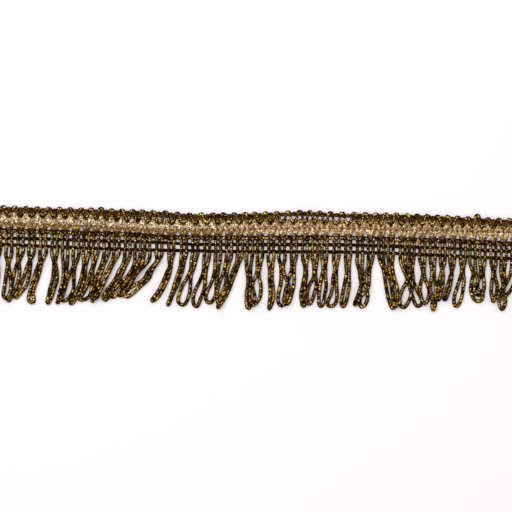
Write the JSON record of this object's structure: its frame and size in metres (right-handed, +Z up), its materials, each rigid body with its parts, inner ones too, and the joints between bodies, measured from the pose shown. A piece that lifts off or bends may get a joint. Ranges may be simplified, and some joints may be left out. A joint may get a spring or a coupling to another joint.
{
  "type": "gota lace trim",
  "caption": "Cut length of flat metallic knit trim: scalloped cord edge, zigzag foil ribbon, a net of small arches and a hanging looped cord fringe.",
  "frame": {"origin": "on the surface the trim lies on, under the middle of its bounding box", "axes": "+X along the length of the trim, +Y towards the scalloped edge, -Y towards the fringe, +Z up out of the face of the trim"},
  "size_m": [0.2128, 0.0401, 0.004],
  "materials": {
    "picot_cord": "antique gold twisted metallic cord",
    "gota_foil": "champagne gold metallic ribbon, shiny",
    "net_cord": "antique gold twisted metallic cord bound by dark brown yarn",
    "bronze_cord": "antique gold twisted metallic cord"
  },
  "bodies": {
    "root": {"picot_edge": "picot_cord", "gota_ribbon": "gota_foil", "arch_net": "net_cord", "fringe": "bronze_cord"}
  },
  "joints": []
}
